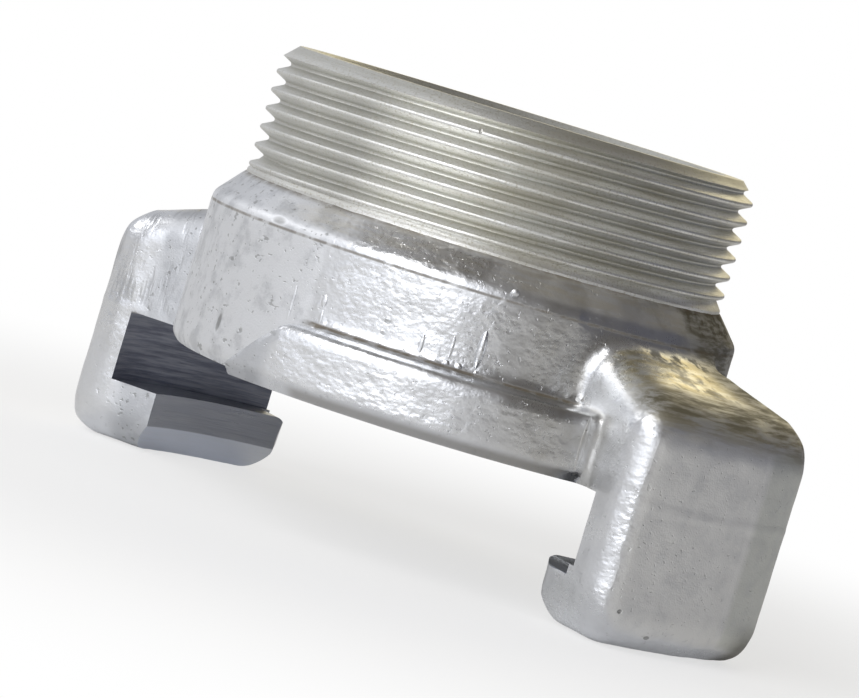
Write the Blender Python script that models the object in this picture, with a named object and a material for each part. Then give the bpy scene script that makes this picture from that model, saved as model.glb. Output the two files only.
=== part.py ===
"""Two-claw hose coupling head of cast aluminium, with a male pipe thread and a rubber seal ring.

The head is one casting, finished on a lathe. It stands on the feet of its claws, with the coupling
side down and the thread up. The origin is on the axis, at the height of the feet. The claws lie on
the X axis, and the second half of the casting is the first one turned by half a turn.
"""
import math

import bmesh
import bpy
from mathutils import Matrix, Vector

MM = 0.001
INCH = 25.4 * MM

# Heights along the axis, each measured from the one before it, starting at the claws' feet. The slot
# between hook and coupling face takes the mating head's ledge, with a little play.
HOOK_THICKNESS = 7.6 * MM
LEDGE_HEIGHT = 8.1 * MM
SLOT_PLAY = 0.7 * MM
COLLAR_HEIGHT = 19.0 * MM
SHOULDER_HEIGHT = 2.8 * MM
SPIGOT_HEIGHT = 16.1 * MM

# Pipe thread G 2, right-handed, with its usual depth for the 55 degree form
THREAD_RADIUS = 29.807 * MM
THREADS_PER_INCH = 11
THREAD_PITCH = INCH / THREADS_PER_INCH
THREAD_DEPTH = 0.640327 * THREAD_PITCH
THREAD_FLAT = THREAD_PITCH / 6
THREAD_CHAMFER = 1.9 * MM
THREAD_START = math.radians(10.6)
RUN_OUT_HEIGHT = 2.3 * MM

# Waterway through the head
SPIGOT_WALL = 5.0 * MM
BORE_CHAMFER = 0.8 * MM

# Seal ring, and the undercut pocket that holds it, open to the coupling face
SEAL_INSET = 0.2 * MM
SEAL_WALL = 3.6 * MM
SEAL_CLEARANCE = 0.3 * MM
SEAL_PROUD = 0.5 * MM
SEAL_CHANNEL_DEPTH = 1.5 * MM
SEAL_CHANNEL_HEIGHT = 2.2 * MM
LIP_DEPTH = 1.1 * MM
LIP_HEIGHT = 2.4 * MM
POCKET_DEPTH = 7.0 * MM

# Collar
COLLAR_WALL = 3.0 * MM
COLLAR_FOOT_FILLET = 1.2 * MM
SHOULDER_ROUNDING = 1.1 * MM
SHOULDER_LAND = 0.2 * MM

# Ledges, which the claws of the mating head grip, with a ramp at the end that meets them first
LEDGE_PROJECTION = 6.6 * MM
LEDGE_FILLET = 1.2 * MM
LEDGE_CHAMFER = 1.2 * MM
LEDGE_ANGLE = math.radians(87.5)
LEDGE_TIP_HEIGHT = 1.4 * MM
RAMP_SLOPE = math.radians(45.0)

# Claws. Their hooks clear the mating head's collar, and their slots clear its ledge.
HOOK_CLEARANCE = 2.7 * MM
SLOT_CLEARANCE = 2.6 * MM
CLAW_WALL = 6.8 * MM
CLAW_HALF_ANGLE = math.radians(20.0)
CLAW_RISE = 11.6 * MM
CLAW_SLOPE = math.radians(17.5)
CLAW_FILLET = 4.2 * MM
TRAILING_FILLET = 6.0 * MM
LEADING_FOOT_FILLET = 6.0 * MM
HOOK_TIP_FILLET = 2.4 * MM
HOOK_LEAD_HEIGHT = 3.4 * MM
HOOK_LEAD_DEPTH = 1.9 * MM

# How finely round shapes are faceted
TURN_STEPS = 96
THREAD_STEPS = 72
CLAW_STEPS = 4
FILLET_SEGMENTS = 4
ROUND_STEPS = 3

# How far a cutter or the raw casting runs past a finished face, what counts as one point, and the
# bend above which an edge counts as a crease. Solids that join run past a face by one, two or three
# allowances, so that no two of them share a face there.
ALLOWANCE = 1.0 * MM
MERGE_DISTANCE = 0.02 * MM
CREASE = math.radians(32)

# Heights worked out from the sizes above
HOOK_TOP = HOOK_THICKNESS
FACE = HOOK_TOP + LEDGE_HEIGHT + SLOT_PLAY
COLLAR_TOP = FACE + COLLAR_HEIGHT
SPIGOT_FOOT = COLLAR_TOP + SHOULDER_HEIGHT
TOP = SPIGOT_FOOT + SPIGOT_HEIGHT
POCKET_ROOF = FACE + POCKET_DEPTH

# Radii worked out from the sizes above
THREAD_ROOT = THREAD_RADIUS - THREAD_DEPTH
BORE_RADIUS = THREAD_RADIUS - SPIGOT_WALL
SEAL_RADIUS = BORE_RADIUS + SEAL_INSET
SEAL_NECK = SEAL_RADIUS + SEAL_WALL
LIP_RADIUS = SEAL_NECK + SEAL_CLEARANCE
POCKET_RADIUS = LIP_RADIUS + LIP_DEPTH
COLLAR_RADIUS = POCKET_RADIUS + COLLAR_WALL
LEDGE_RADIUS = COLLAR_RADIUS + LEDGE_PROJECTION
HOOK_RADIUS = COLLAR_RADIUS + HOOK_CLEARANCE
SLOT_RADIUS = LEDGE_RADIUS + SLOT_CLEARANCE
CLAW_RADIUS = SLOT_RADIUS + CLAW_WALL
WALL_RADIUS = (POCKET_RADIUS + COLLAR_RADIUS) / 2
BLANK_RADIUS = BORE_RADIUS - ALLOWANCE
RAW_HOOK_RADIUS = HOOK_RADIUS - ALLOWANCE

ALUMINIUM = {"colour": (0.62, 0.62, 0.61, 1.0), "roughness": 0.42, "metallic": 1.0}
RUBBER = {"colour": (0.025, 0.025, 0.027, 1.0), "roughness": 0.75, "metallic": 0.0}


def clear_scene():
    """Remove every object that the file starts with."""
    for item in list(bpy.data.objects):
        bpy.data.objects.remove(item, do_unlink=True)


def material(name, finish):
    """Make a plain Principled material."""
    made = bpy.data.materials.new(name)
    made.use_nodes = True
    shader = made.node_tree.nodes["Principled BSDF"]
    shader.inputs["Base Color"].default_value = finish["colour"]
    shader.inputs["Roughness"].default_value = finish["roughness"]
    shader.inputs["Metallic"].default_value = finish["metallic"]
    return made


def arc(centre, radius, start, end, steps=ROUND_STEPS):
    """Points of an arc in the (radius, height) plane, with its angles in degrees."""
    points = []
    for step in range(steps + 1):
        angle = math.radians(start + (end - start) * step / steps)
        points.append((centre[0] + radius * math.cos(angle), centre[1] + radius * math.sin(angle)))
    return points


def outline(shape, points):
    """Add a closed outline of (radius, height) points in the XZ plane and return its geometry."""
    verts = [shape.verts.new((radius, 0.0, height)) for radius, height in points]
    edges = [shape.edges.new((verts[index - 1], verts[index])) for index in range(len(verts))]
    return verts + edges


def to_object(name, shape, look=None):
    """Turn a bmesh into an object, with a material if it has one."""
    bmesh.ops.recalc_face_normals(shape, faces=shape.faces)
    mesh = bpy.data.meshes.new(name)
    shape.to_mesh(mesh)
    shape.free()
    made = bpy.data.objects.new(name, mesh)
    bpy.context.collection.objects.link(made)
    if look is not None:
        mesh.materials.append(look)
    return made


def bake(item):
    """Put the result of an object's modifiers in its mesh."""
    graph = bpy.context.evaluated_depsgraph_get()
    graph.update()
    before = item.data
    after = bpy.data.meshes.new_from_object(item.evaluated_get(graph))
    item.modifiers.clear()
    item.data = after
    bpy.data.meshes.remove(before)


def combine(target, operation, tool):
    """Add a solid to another, cut it away or keep only what both share, and remove the tool."""
    modifier = target.modifiers.new(tool.name, "BOOLEAN")
    modifier.operation = operation
    modifier.object = tool
    modifier.solver = "EXACT"
    bake(target)
    bpy.data.objects.remove(tool, do_unlink=True)


def shade(item):
    """Shade a piece smoothly between its creases."""
    item.data.shade_smooth()
    item.data.set_sharp_from_angle(angle=CREASE)


def turned(name, points, look=None):
    """Turn a closed outline about the axis into a ring."""
    shape = bmesh.new()
    bmesh.ops.spin(shape, geom=outline(shape, points), cent=(0, 0, 0), axis=(0, 0, 1),
                   angle=math.tau, steps=TURN_STEPS, use_merge=True)
    return to_object(name, shape, look)


def sector(points, start, end, steps):
    """Turn a closed outline from one angle to another and close both ends."""
    shape = bmesh.new()
    geometry = outline(shape, points)
    bmesh.ops.rotate(shape, verts=shape.verts, cent=(0, 0, 0), matrix=Matrix.Rotation(start, 3, "Z"))
    swept = bmesh.ops.spin(shape, geom=geometry, cent=(0, 0, 0), axis=(0, 0, 1),
                           angle=end - start, steps=steps)
    first = [item for item in geometry if isinstance(item, bmesh.types.BMEdge)]
    last = [item for item in swept["geom_last"] if isinstance(item, bmesh.types.BMEdge)]
    bmesh.ops.contextual_create(shape, geom=first)
    bmesh.ops.contextual_create(shape, geom=last)
    bmesh.ops.recalc_face_normals(shape, faces=shape.faces)
    return shape


def half_turn(shape):
    """Add the same shape again on the other side of the axis."""
    geometry = shape.verts[:] + shape.edges[:] + shape.faces[:]
    copy = bmesh.ops.duplicate(shape, geom=geometry)
    verts = [item for item in copy["geom"] if isinstance(item, bmesh.types.BMVert)]
    bmesh.ops.rotate(shape, verts=verts, cent=(0, 0, 0), matrix=Matrix.Rotation(math.pi, 3, "Z"))


def collar_outline():
    """Section of the collar, its shoulder and the thread's run-out, thicker where it will be turned."""
    foot_centre = (COLLAR_RADIUS - COLLAR_FOOT_FILLET, FACE + COLLAR_FOOT_FILLET)
    shoulder_centre = (COLLAR_RADIUS - SHOULDER_ROUNDING, COLLAR_TOP - SHOULDER_ROUNDING)
    run_out_end = SPIGOT_FOOT + RUN_OUT_HEIGHT + ALLOWANCE * RUN_OUT_HEIGHT / THREAD_DEPTH
    return [
        (BLANK_RADIUS, FACE - ALLOWANCE),
        (foot_centre[0], FACE - ALLOWANCE),
        *arc(foot_centre, COLLAR_FOOT_FILLET, -90, 0),
        *arc(shoulder_centre, SHOULDER_ROUNDING, 0, 50),
        (THREAD_RADIUS + SHOULDER_LAND, SPIGOT_FOOT),
        (THREAD_ROOT - ALLOWANCE, run_out_end),
        (BLANK_RADIUS, run_out_end),
    ]


def thread_rod():
    """Threaded rod from inside the shoulder to the rim: one groove profile swept up a helix."""
    flank = THREAD_PITCH / 2 - THREAD_FLAT
    foot = SPIGOT_FOOT - 2 * THREAD_PITCH
    turns = math.ceil((TOP - foot) / THREAD_PITCH) + 1
    points = [
        (THREAD_ROOT, foot),
        (THREAD_ROOT, foot + THREAD_FLAT),
        (THREAD_RADIUS, foot + THREAD_FLAT + flank),
        (THREAD_RADIUS, foot + THREAD_FLAT * 2 + flank),
        (THREAD_ROOT, foot + THREAD_PITCH),
    ]
    shape = bmesh.new()
    verts = [shape.verts.new((radius, 0.0, height)) for radius, height in points]
    edges = [shape.edges.new(pair) for pair in zip(verts, verts[1:])]
    bmesh.ops.rotate(shape, verts=verts, cent=(0, 0, 0), matrix=Matrix.Rotation(THREAD_START, 3, "Z"))
    bmesh.ops.spin(shape, geom=verts + edges, cent=(0, 0, 0), axis=(0, 0, 1),
                   dvec=(0, 0, THREAD_PITCH / THREAD_STEPS), angle=math.tau * turns,
                   steps=THREAD_STEPS * turns)
    bmesh.ops.remove_doubles(shape, verts=shape.verts, dist=MERGE_DISTANCE / 10)
    trim(shape, Vector((0, 0, TOP + ALLOWANCE)), Vector((0, 0, 1)))
    trim(shape, Vector((0, 0, SPIGOT_FOOT - THREAD_PITCH / 2)), Vector((0, 0, -1)))
    bmesh.ops.triangulate(shape, faces=shape.faces)
    return to_object("thread_rod", shape)


def thread_mouth():
    """What the finished thread lies within: a ring with a chamfer at the mouth."""
    inside = BLANK_RADIUS - ALLOWANCE
    beyond = THREAD_RADIUS + ALLOWANCE
    return turned("thread_mouth", [
        (inside, FACE),
        (beyond, FACE),
        (beyond, TOP - THREAD_CHAMFER - ALLOWANCE),
        (THREAD_RADIUS - THREAD_CHAMFER, TOP),
        (inside, TOP),
    ])


def trim(shape, point, away):
    """Cut off what lies beyond a plane, and close the cut."""
    cut = bmesh.ops.bisect_plane(shape, geom=shape.verts[:] + shape.edges[:] + shape.faces[:],
                                 plane_co=point, plane_no=away, clear_outer=True)
    rim = [item for item in cut["geom_cut"] if isinstance(item, bmesh.types.BMEdge)]
    bmesh.ops.contextual_create(shape, geom=rim)


def claw_fillet(edge):
    """Radius of the fillet on an edge of the claw at +X. The flank towards its own ledge is at -Y."""
    low, high = sorted((vert.co for vert in edge.verts), key=lambda end: end.z)
    reach = math.hypot(low.x, low.y), math.hypot(high.x, high.y)
    upright = high.z - low.z > ALLOWANCE and abs(reach[1] - reach[0]) < MERGE_DISTANCE
    radial = abs(reach[1] - reach[0]) > ALLOWANCE
    towards_ledge = low.y < 0
    if edge.calc_face_angle(0.0) < CREASE or max(reach) < RAW_HOOK_RADIUS - MERGE_DISTANCE:
        return 0.0
    if max(reach) < SLOT_RADIUS:
        return HOOK_TIP_FILLET if upright and towards_ledge else 0.0
    if upright and not towards_ledge:
        return TRAILING_FILLET
    return LEADING_FOOT_FILLET if radial and towards_ledge and high.z < ALLOWANCE else CLAW_FILLET


def claw_castings():
    """Both claws as cast: rounded blocks that take root in the collar, with a hook below."""
    outer_top = FACE + CLAW_RISE
    inner_top = outer_top + (CLAW_RADIUS - WALL_RADIUS) * math.tan(CLAW_SLOPE)
    shape = sector([
        (WALL_RADIUS, FACE - ALLOWANCE * 3),
        (RAW_HOOK_RADIUS, FACE - ALLOWANCE * 3),
        (RAW_HOOK_RADIUS, 0.0),
        (CLAW_RADIUS, 0.0),
        (CLAW_RADIUS, outer_top),
        (WALL_RADIUS, inner_top),
    ], -CLAW_HALF_ANGLE, CLAW_HALF_ANGLE, CLAW_STEPS)
    widest = max(CLAW_FILLET, TRAILING_FILLET, LEADING_FOOT_FILLET, HOOK_TIP_FILLET)
    weights = shape.edges.layers.float.new("bevel_weight_edge")
    for edge in shape.edges:
        edge[weights] = claw_fillet(edge) / widest
    half_turn(shape)
    claws = to_object("claw_castings", shape)
    rounding = claws.modifiers.new("fillets", "BEVEL")
    rounding.limit_method = "WEIGHT"
    rounding.width = widest
    rounding.segments = FILLET_SEGMENTS
    weld = claws.modifiers.new("weld", "WELD")
    weld.merge_threshold = MERGE_DISTANCE
    bake(claws)
    return claws


def ledge_castings():
    """Both ledges: a rim from each claw round the collar, with a ramp at its free end."""
    top = FACE + LEDGE_HEIGHT
    top_centre = (LEDGE_RADIUS - LEDGE_FILLET, top - LEDGE_FILLET)
    points = [
        (WALL_RADIUS, FACE - ALLOWANCE * 2),
        (LEDGE_RADIUS - LEDGE_CHAMFER - ALLOWANCE * 2, FACE - ALLOWANCE * 2),
        (LEDGE_RADIUS, FACE + LEDGE_CHAMFER),
        *arc(top_centre, LEDGE_FILLET, 0, 90),
        (WALL_RADIUS, top),
    ]
    steps = round(TURN_STEPS * LEDGE_ANGLE / math.tau)
    shape = sector(points, -LEDGE_ANGLE, 0.0, steps)
    outward = Vector((math.cos(LEDGE_ANGLE), -math.sin(LEDGE_ANGLE), 0.0))
    away = Vector((-math.sin(LEDGE_ANGLE), -math.cos(LEDGE_ANGLE), 0.0))
    tip = outward * LEDGE_RADIUS + Vector((0.0, 0.0, FACE + LEDGE_TIP_HEIGHT))
    trim(shape, tip, away * math.sin(RAMP_SLOPE) + Vector((0.0, 0.0, math.cos(RAMP_SLOPE))))
    half_turn(shape)
    return to_object("ledge_castings", shape)


def turning_cut():
    """What the lathe takes off: hook faces, slots, coupling face, seal pocket and bore."""
    inside = BORE_RADIUS / 2
    lead_slope = HOOK_LEAD_DEPTH / HOOK_LEAD_HEIGHT
    return turned("turning_cut", [
        (inside, -ALLOWANCE),
        (HOOK_RADIUS + HOOK_LEAD_DEPTH + ALLOWANCE * lead_slope, -ALLOWANCE),
        (HOOK_RADIUS, HOOK_LEAD_HEIGHT),
        (HOOK_RADIUS, HOOK_TOP),
        (SLOT_RADIUS, HOOK_TOP),
        (SLOT_RADIUS, FACE),
        (LIP_RADIUS, FACE),
        (LIP_RADIUS, FACE + LIP_HEIGHT),
        (POCKET_RADIUS, FACE + LIP_HEIGHT),
        (POCKET_RADIUS, POCKET_ROOF),
        (BORE_RADIUS, POCKET_ROOF),
        (BORE_RADIUS, TOP - BORE_CHAMFER),
        (BORE_RADIUS + BORE_CHAMFER + ALLOWANCE, TOP + ALLOWANCE),
        (inside, TOP + ALLOWANCE),
    ])


def build_coupling_body():
    """One casting of collar, ledges and claws, with its thread, bore and coupling side turned."""
    body = turned("coupling_body", collar_outline(), material("aluminium", ALUMINIUM))
    spigot = thread_rod()
    combine(spigot, "INTERSECT", thread_mouth())
    combine(body, "UNION", ledge_castings())
    combine(body, "UNION", claw_castings())
    combine(body, "UNION", spigot)
    combine(body, "DIFFERENCE", turning_cut())
    shade(body)
    return body


def build_seal_ring():
    """Rubber ring whose flange is held behind the pocket's lip, with a channel that water spreads."""
    flange = POCKET_RADIUS - SEAL_CLEARANCE
    roof = POCKET_ROOF - SEAL_CLEARANCE
    flange_foot = FACE + LIP_HEIGHT + SEAL_CLEARANCE
    foot = FACE - SEAL_PROUD
    middle = (roof + foot) / 2
    ring = turned("seal_ring", [
        (SEAL_RADIUS, foot),
        (SEAL_NECK, foot),
        (SEAL_NECK, flange_foot),
        (flange, flange_foot),
        (flange, roof),
        (SEAL_RADIUS, roof),
        (SEAL_RADIUS, middle + SEAL_CHANNEL_HEIGHT / 2),
        (SEAL_RADIUS + SEAL_CHANNEL_DEPTH, middle),
        (SEAL_RADIUS, middle - SEAL_CHANNEL_HEIGHT / 2),
    ], material("rubber", RUBBER))
    shade(ring)
    return ring


def main():
    """Build both pieces where they belong."""
    clear_scene()
    build_coupling_body()
    build_seal_ring()


main()
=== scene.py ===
"""Looks of a cast aluminium coupling head: its skin, its turned faces, its thread and its seal."""
from __future__ import annotations

import logging
import math
from collections.abc import Callable, Iterable, Sequence
from dataclasses import dataclass
from enum import Enum

import bmesh
import bpy
from mathutils import Matrix, Vector, noise

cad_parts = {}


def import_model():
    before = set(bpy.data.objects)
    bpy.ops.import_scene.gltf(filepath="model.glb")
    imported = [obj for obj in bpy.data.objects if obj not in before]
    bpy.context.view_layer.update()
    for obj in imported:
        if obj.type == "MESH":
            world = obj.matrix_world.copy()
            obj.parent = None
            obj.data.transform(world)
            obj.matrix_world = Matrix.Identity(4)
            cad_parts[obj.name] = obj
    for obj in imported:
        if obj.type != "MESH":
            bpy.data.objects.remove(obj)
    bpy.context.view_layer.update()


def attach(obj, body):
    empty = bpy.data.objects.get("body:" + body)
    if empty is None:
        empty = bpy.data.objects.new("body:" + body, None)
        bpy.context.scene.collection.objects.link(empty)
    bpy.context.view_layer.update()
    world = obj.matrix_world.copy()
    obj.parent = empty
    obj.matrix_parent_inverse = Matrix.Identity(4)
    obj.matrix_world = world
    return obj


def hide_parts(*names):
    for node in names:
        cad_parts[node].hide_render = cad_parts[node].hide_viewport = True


LOG = logging.getLogger("coupling_head")
MM = 0.001

Point = tuple[float, float]
Sector = tuple[float, float]
Colour = tuple[float, float, float, float]

WHITE: Colour = (1.0, 1.0, 1.0, 1.0)
AXIS = {"cent": (0, 0, 0), "axis": (0, 0, 1)}
CLOSE = 0.02 * MM
# Form of the 55 degree pipe thread: depth and rounding as shares of the pitch, and slope of the flanks
THREAD_DEPTH_SHARE = 0.640327
THREAD_ROUNDING_SHARE = 0.137329
THREAD_FLANK_DEGREES = 27.5
# Numbers of a Mix node's sockets for colours
MIX_FACTOR, MIX_FIRST, MIX_SECOND, MIX_RESULT = 0, 6, 7, 2


@dataclass(frozen=True)
class HeadSizes:
    """Driving sizes of the head in metres. Radii and heights follow from one another as in the CAD part."""

    hook_thickness: float = 7.6 * MM
    ledge_height: float = 8.1 * MM
    slot_play: float = 0.7 * MM
    collar_height: float = 19.0 * MM
    shoulder_height: float = 2.8 * MM
    spigot_height: float = 16.1 * MM

    thread_radius: float = 29.807 * MM
    thread_pitch: float = 25.4 * MM / 11
    thread_chamfer: float = 1.9 * MM
    spigot_wall: float = 5.0 * MM
    bore_chamfer: float = 0.8 * MM

    seal_inset: float = 0.2 * MM
    seal_wall: float = 3.6 * MM
    seal_clearance: float = 0.3 * MM
    seal_proud: float = 0.5 * MM
    lip_depth: float = 1.1 * MM
    lip_height: float = 2.4 * MM
    pocket_depth: float = 7.0 * MM

    collar_wall: float = 3.0 * MM
    collar_foot_fillet: float = 1.2 * MM
    shoulder_rounding: float = 1.1 * MM
    shoulder_land: float = 0.2 * MM

    ledge_projection: float = 6.6 * MM
    ledge_fillet: float = 1.2 * MM
    ledge_chamfer: float = 1.2 * MM
    ledge_angle: float = math.radians(87.5)
    ledge_tip_height: float = 1.4 * MM
    ramp_slope: float = math.radians(45.0)

    hook_clearance: float = 2.7 * MM
    slot_clearance: float = 2.6 * MM
    claw_wall: float = 6.8 * MM
    claw_half_angle: float = math.radians(20.0)
    claw_rise: float = 11.6 * MM
    claw_slope: float = math.radians(17.5)
    claw_fillet: float = 4.2 * MM
    trailing_fillet: float = 6.0 * MM
    leading_foot_fillet: float = 6.0 * MM
    hook_tip_fillet: float = 2.4 * MM
    hook_lead_height: float = 3.4 * MM
    hook_lead_depth: float = 1.9 * MM

    allowance: float = 1.0 * MM

    @property
    def face(self) -> float:
        """Height of the coupling face."""
        return self.hook_thickness + self.ledge_height + self.slot_play

    @property
    def collar_top(self) -> float:
        """Height of the collar's upper edge."""
        return self.face + self.collar_height

    @property
    def spigot_foot(self) -> float:
        """Height at which the thread's spigot leaves the shoulder."""
        return self.collar_top + self.shoulder_height

    @property
    def top(self) -> float:
        """Height of the rim at the thread's mouth."""
        return self.spigot_foot + self.spigot_height

    @property
    def thread_depth(self) -> float:
        """Depth of the 55 degree thread."""
        return THREAD_DEPTH_SHARE * self.thread_pitch

    @property
    def bore_radius(self) -> float:
        """Radius of the waterway."""
        return self.thread_radius - self.spigot_wall

    @property
    def raw_bore_radius(self) -> float:
        """Radius of the bore as cast, before it is turned."""
        return self.bore_radius - self.allowance

    @property
    def seal_neck(self) -> float:
        """Outer radius of the seal where it passes the pocket's lip."""
        return self.bore_radius + self.seal_inset + self.seal_wall

    @property
    def lip_radius(self) -> float:
        """Radius of the lip that keeps the seal in."""
        return self.seal_neck + self.seal_clearance

    @property
    def pocket_radius(self) -> float:
        """Radius of the seal's pocket."""
        return self.lip_radius + self.lip_depth

    @property
    def collar_radius(self) -> float:
        """Outer radius of the collar."""
        return self.pocket_radius + self.collar_wall

    @property
    def ledge_radius(self) -> float:
        """Outer radius of the ledges."""
        return self.collar_radius + self.ledge_projection

    @property
    def hook_radius(self) -> float:
        """Radius of the hooks' turned inner faces."""
        return self.collar_radius + self.hook_clearance

    @property
    def raw_hook_radius(self) -> float:
        """Radius of the hooks' inner faces as cast, before they are turned."""
        return self.hook_radius - self.allowance

    @property
    def slot_radius(self) -> float:
        """Radius of the claws' turned slots."""
        return self.ledge_radius + self.slot_clearance

    @property
    def claw_radius(self) -> float:
        """Outer radius of the claws."""
        return self.slot_radius + self.claw_wall

    @property
    def wall_radius(self) -> float:
        """Middle of the collar's wall, where the claws and ledges take root."""
        return (self.pocket_radius + self.collar_radius) / 2


def arc(centre: Point, radius: float, start: float, end: float, steps: int = 8) -> list[Point]:
    """Work out the points of an arc in the (radius, height) plane.

    Args:
        centre: Centre of the arc.
        radius: Its radius.
        start: Angle of its first point, in degrees.
        end: Angle of its last point, in degrees.
        steps: Number of straight pieces.

    Returns:
        The points, first and last ones included.
    """
    angles = (math.radians(start + (end - start) * step / steps) for step in range(steps + 1))
    return [(centre[0] + radius * math.cos(a), centre[1] + radius * math.sin(a)) for a in angles]


def only(kind: type, geometry: Iterable[bmesh.types.BMElem]) -> list[bmesh.types.BMElem]:
    """Pick the vertices or the edges out of mixed geometry."""
    return [item for item in geometry if isinstance(item, kind)]


def show(name: str, data: bpy.types.ID) -> bpy.types.Object:
    """Make an object of its data and put it in the scene.

    Args:
        name: The object's name.
        data: Its mesh, camera or lamp.

    Returns:
        The object.
    """
    made = bpy.data.objects.new(name, data)
    bpy.context.collection.objects.link(made)
    return made


def standing(place: Vector, ahead: Vector) -> Matrix:
    """Give the placing of a camera or a lamp that stands at a place and looks ahead."""
    return Matrix.Translation(place) @ ahead.to_track_quat("-Z", "Y").to_matrix().to_4x4()


class Solid:
    """A mesh under construction, shaped by bmesh operators."""

    def __init__(self) -> None:
        """Start with an empty mesh."""
        self.shape = bmesh.new()

    @property
    def everything(self) -> list[bmesh.types.BMElem]:
        """All its vertices, edges and faces."""
        return self.shape.verts[:] + self.shape.edges[:] + self.shape.faces[:]

    def outline(self, points: Sequence[Point], closed: bool = True) -> list[bmesh.types.BMElem]:
        """Draw an outline in the XZ plane.

        Args:
            points: The outline's (radius, height) points.
            closed: Whether the last point joins the first one.

        Returns:
            The new vertices and edges.
        """
        verts = [self.shape.verts.new((radius, 0.0, height)) for radius, height in points]
        first = 0 if closed else 1
        edges = [self.shape.edges.new((verts[i - 1], verts[i])) for i in range(first, len(verts))]
        return verts + edges

    def turn(self, points: Sequence[Point], steps: int = 192) -> Solid:
        """Turn a closed outline of (radius, height) points about the axis into a ring.

        Args:
            points: The outline's (radius, height) points.
            steps: Number of facets round the axis.

        Returns:
            This solid.
        """
        bmesh.ops.spin(self.shape, geom=self.outline(points), **AXIS, angle=math.tau, steps=steps,
                       use_merge=True)
        return self

    def sweep(self, points: Sequence[Point], start: float, end: float, steps: int) -> Solid:
        """Turn a closed outline from one angle to another and close its ends.

        Args:
            points: The outline's (radius, height) points.
            start: First angle in radians.
            end: Last angle in radians.
            steps: Number of facets between them.

        Returns:
            This solid.
        """
        geometry = self.outline(points)
        self.rotate(self.shape.verts, start)
        swept = bmesh.ops.spin(self.shape, geom=geometry, **AXIS, angle=end - start, steps=steps)
        for end_geometry in (geometry, swept["geom_last"]):
            self.cap(end_geometry)
        bmesh.ops.recalc_face_normals(self.shape, faces=self.shape.faces)
        return self

    def rotate(self, verts: Sequence[bmesh.types.BMVert], angle: float) -> None:
        """Rotate vertices about the axis."""
        bmesh.ops.rotate(self.shape, verts=verts, cent=AXIS["cent"], matrix=Matrix.Rotation(angle, 3, "Z"))

    def weigh(self, width: Callable[[bmesh.types.BMEdge], float]) -> float:
        """Note on each edge the width of the fillet that it gets, as a share of the widest one.

        Args:
            width: Gives an edge's fillet.

        Returns:
            The widest fillet.
        """
        widths = [width(edge) for edge in self.shape.edges]
        widest = max(widths)
        layer = self.shape.edges.layers.float.new("bevel_weight_edge")
        for edge, own in zip(self.shape.edges, widths):
            edge[layer] = own / widest
        return widest

    def cap(self, geometry: Iterable[bmesh.types.BMElem]) -> None:
        """Close the hole that the edges among the geometry go round."""
        bmesh.ops.contextual_create(self.shape, geom=only(bmesh.types.BMEdge, geometry))

    def slice(self, point: Vector, away: Vector) -> Solid:
        """Cut off what lies beyond a plane and close the cut.

        Args:
            point: A point on the plane.
            away: The plane's normal, towards what is cut off.

        Returns:
            This solid.
        """
        cut = bmesh.ops.bisect_plane(self.shape, geom=self.everything, plane_co=point, plane_no=away,
                                     clear_outer=True)
        self.cap(cut["geom_cut"])
        return self

    def repeat_half_turn(self) -> Solid:
        """Add the same shape again on the other side of the axis.

        Returns:
            This solid.
        """
        copy = bmesh.ops.duplicate(self.shape, geom=self.everything)
        self.rotate(only(bmesh.types.BMVert, copy["geom"]), math.pi)
        return self

    def finish(self, name: str, look: bpy.types.Material) -> bpy.types.Object:
        """Make an object of the mesh.

        Args:
            name: The object's name.
            look: Its material.

        Returns:
            The object, at the origin.
        """
        bmesh.ops.recalc_face_normals(self.shape, faces=self.shape.faces)
        mesh = bpy.data.meshes.new(name)
        self.shape.to_mesh(mesh)
        self.shape.free()
        mesh.materials.append(look)
        return show(name, mesh)


class Join(Enum):
    """Ways in which one solid changes another."""

    ADD = "UNION"
    CUT = "DIFFERENCE"
    KEEP_COMMON = "INTERSECT"


def combine(target: bpy.types.Object, tool: bpy.types.Object, how: Join) -> None:
    """Change a solid by another one, with materials carried over, and delete the tool.

    Args:
        target: The solid that changes.
        tool: The solid that adds, cuts or limits.
        how: What it does.
    """
    modifier = target.modifiers.new("join", "BOOLEAN")
    modifier.operation = how.value
    modifier.object = tool
    modifier.solver = "MANIFOLD"
    modifier.material_mode = "TRANSFER"
    bake_modifiers(target)
    bpy.data.objects.remove(tool, do_unlink=True)


def fillet(target: bpy.types.Object, widest: float, segments: int = 8) -> None:
    """Round the weighted edges of an object and weld the near-double points that this leaves.

    Args:
        target: The object.
        widest: Width of the fillet on an edge of full weight.
        segments: Number of facets across a fillet.
    """
    rounding = target.modifiers.new("fillets", "BEVEL")
    rounding.limit_method = "WEIGHT"
    rounding.width = widest
    rounding.segments = segments
    target.modifiers.new("weld", "WELD").merge_threshold = CLOSE
    bake_modifiers(target)


def bake_modifiers(target: bpy.types.Object) -> None:
    """Put the result of an object's modifiers in its mesh.

    Args:
        target: The object.
    """
    graph = bpy.context.evaluated_depsgraph_get()
    graph.update()
    result = bpy.data.meshes.new_from_object(target.evaluated_get(graph))
    target.modifiers.clear()
    target.data = result


def shade(target: bpy.types.Object, crease_degrees: float) -> None:
    """Shade an object smoothly, with its sharper edges kept sharp."""
    target.data.shade_smooth()
    target.data.set_sharp_from_angle(angle=math.radians(crease_degrees))


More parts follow.
